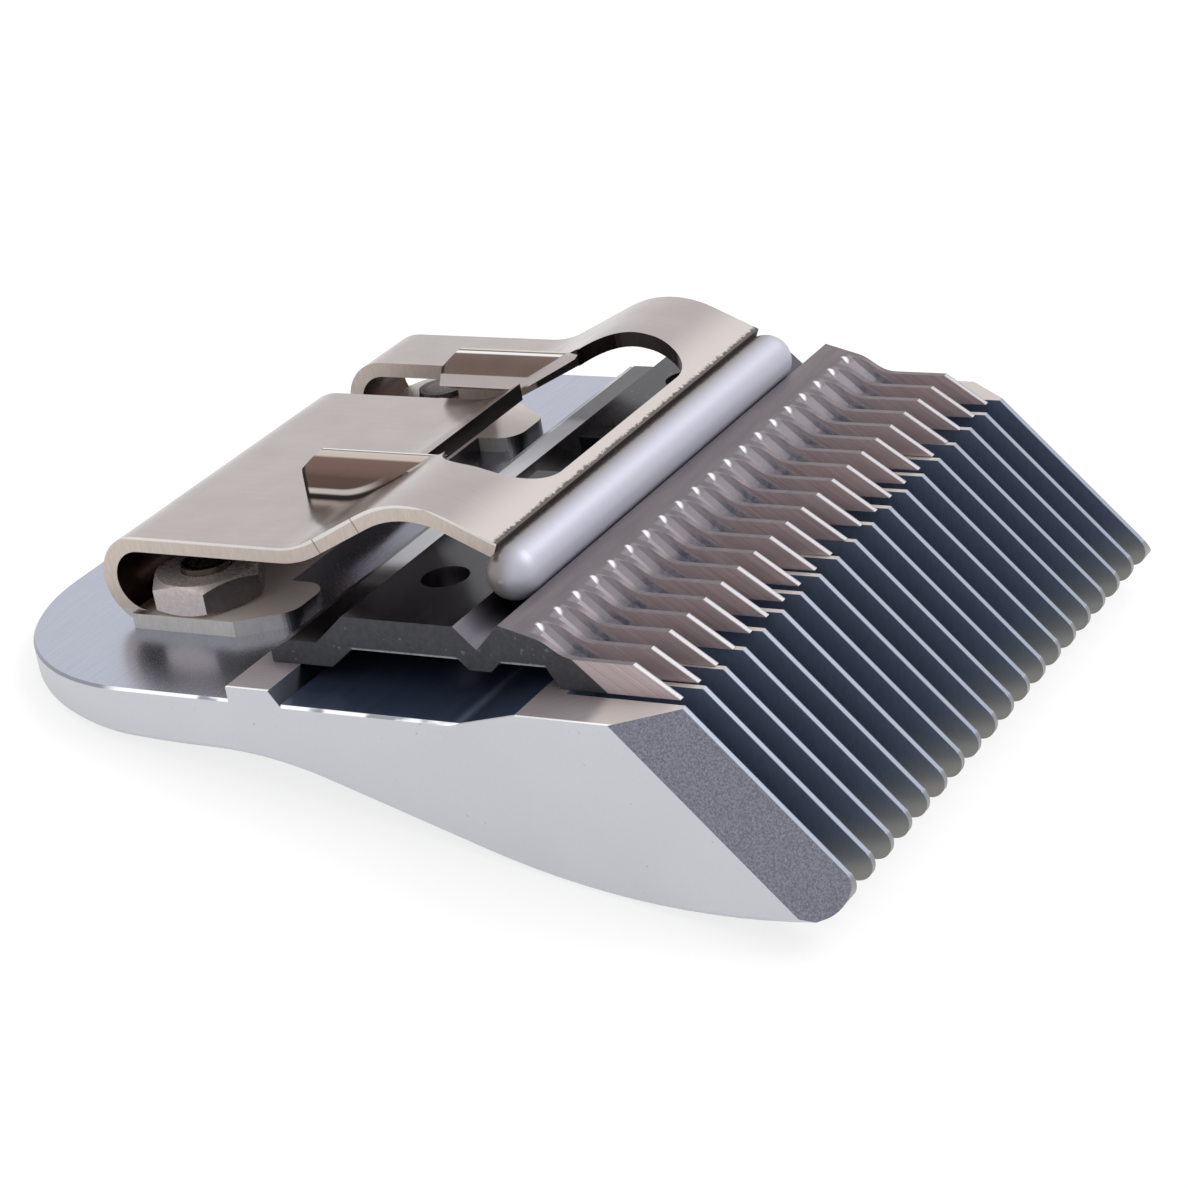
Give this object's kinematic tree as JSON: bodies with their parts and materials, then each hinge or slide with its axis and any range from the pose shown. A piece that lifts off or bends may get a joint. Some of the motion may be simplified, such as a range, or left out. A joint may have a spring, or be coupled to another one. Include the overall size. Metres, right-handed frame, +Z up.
{
  "type": "hair clipper blade",
  "caption": "Detachable hair clipper blade: coarse sloped comb, sliding toothed cutter and a folded tension spring with socket ears, held by screws and nuts.",
  "frame": {"origin": "centre of the bounding box on the surface that the blade lies on", "axes": "+X along the row of teeth, +Y from the tooth tips back to the heel, +Z up; the blade lies on its belly and its heel"},
  "size_m": [0.0478, 0.0566, 0.0156],
  "materials": {
    "comb": "satin plated sides, ground and polished faces",
    "cutter": "dark steel, ground teeth",
    "spring": "bright nickel plate over spring sheet",
    "fasteners": "nickel plate"
  },
  "bodies": {
    "blade": {"comb": "comb", "tension_spring": "spring", "screw_left": "fasteners", "screw_right": "fasteners", "nut_left": "fasteners", "nut_right": "fasteners"},
    "cutter": {"cutter": "cutter"}
  },
  "joints": [
    {"name": "cutter_slide", "type": "slide", "parent": "blade", "child": "cutter", "axis": [1, 0, 0], "range_m": [-0.0012, 0.0012]}
  ]
}
